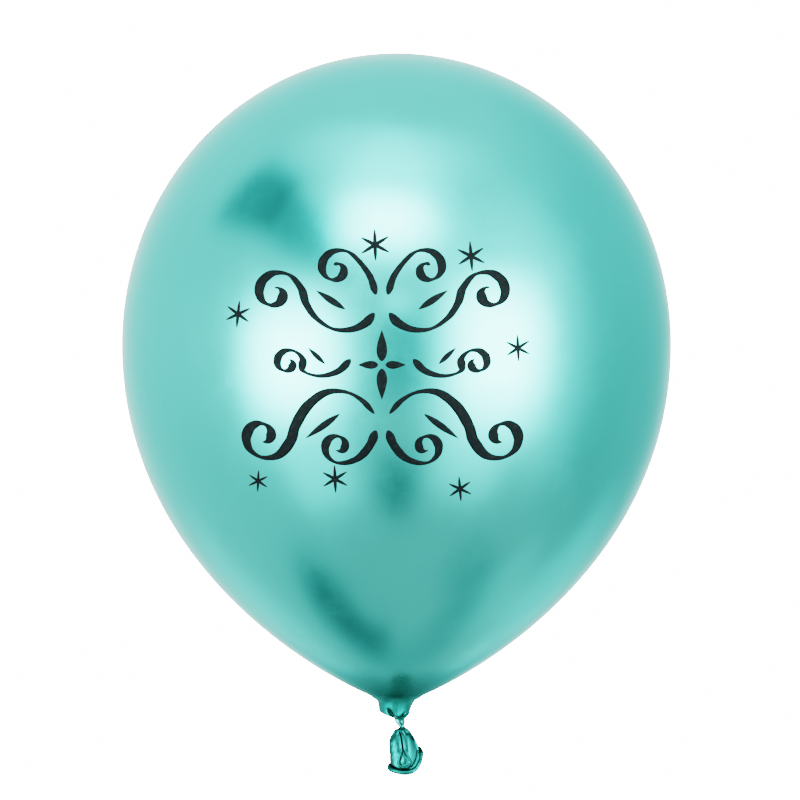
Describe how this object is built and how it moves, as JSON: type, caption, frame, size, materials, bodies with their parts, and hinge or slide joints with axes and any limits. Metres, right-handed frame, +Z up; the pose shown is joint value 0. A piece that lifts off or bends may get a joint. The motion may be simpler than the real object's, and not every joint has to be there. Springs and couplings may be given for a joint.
{
  "type": "latex balloon",
  "caption": "Inflated teardrop balloon of metallic teal latex, tied at a small knot under a short neck, with a flattened tail, rolled lip and dark printed scroll ornament.",
  "frame": {"origin": "centre of the knot, where a ribbon or a balloon stick holds the balloon", "axes": "+Z up along the balloon from the knot to the crown; the printed face looks towards -Y; +X is to the right of the printed face"},
  "size_m": [0.3, 0.3005, 0.3949],
  "materials": {
    "chrome_latex": "metallic pearl",
    "gathered_latex": "metallic satin",
    "print_ink": "matte"
  },
  "bodies": {
    "knot": {"knot_core": "gathered_latex"},
    "loop": {"knot_loop": "gathered_latex"},
    "bulb": {"bulb_film": "chrome_latex", "neck_film": "gathered_latex", "print_drop_bottom": "print_ink", "print_drop_left": "print_ink", "print_drop_right": "print_ink", "print_drop_top": "print_ink", "print_lower_curl_left": "print_ink", "print_lower_curl_right": "print_ink", "print_lower_leaf_left": "print_ink", "print_lower_leaf_right": "print_ink", "print_lower_scroll_left": "print_ink", "print_lower_scroll_right": "print_ink", "print_middle_leaf_left": "print_ink", "print_middle_leaf_right": "print_ink", "print_middle_wave_left": "print_ink", "print_middle_wave_right": "print_ink", "print_star_bottom_left": "print_ink", "print_star_bottom_middle": "print_ink", "print_star_bottom_right": "print_ink", "print_star_left": "print_ink", "print_star_right": "print_ink", "print_star_top_middle": "print_ink", "print_star_top_right": "print_ink", "print_upper_curl_left": "print_ink", "print_upper_curl_right": "print_ink", "print_upper_leaf_left": "print_ink", "print_upper_leaf_right": "print_ink", "print_upper_scroll_left": "print_ink", "print_upper_scroll_right": "print_ink"},
    "waist": {"waist_strand": "gathered_latex"},
    "tail": {"tail_skirt": "gathered_latex", "rolled_lip": "gathered_latex"}
  },
  "joints": [
    {"name": "bulb_nod", "type": "hinge", "parent": "knot", "child": "loop", "pos_m": [0, 0, 0], "axis": [1, 0, 0], "range_deg": [-15, 15], "stiffness_Nm_per_rad": 0.05},
    {"name": "bulb_sway", "type": "hinge", "parent": "loop", "child": "bulb", "pos_m": [0, 0, 0], "axis": [0, 1, 0], "range_deg": [-15, 15], "stiffness_Nm_per_rad": 0.05},
    {"name": "tail_nod", "type": "hinge", "parent": "knot", "child": "waist", "pos_m": [0, 0, 0], "axis": [1, 0, 0], "range_deg": [-40, 40], "stiffness_Nm_per_rad": 0.0005},
    {"name": "tail_sway", "type": "hinge", "parent": "waist", "child": "tail", "pos_m": [0, 0, -0.0058], "axis": [0, 1, 0], "range_deg": [-40, 40], "stiffness_Nm_per_rad": 0.0005}
  ]
}
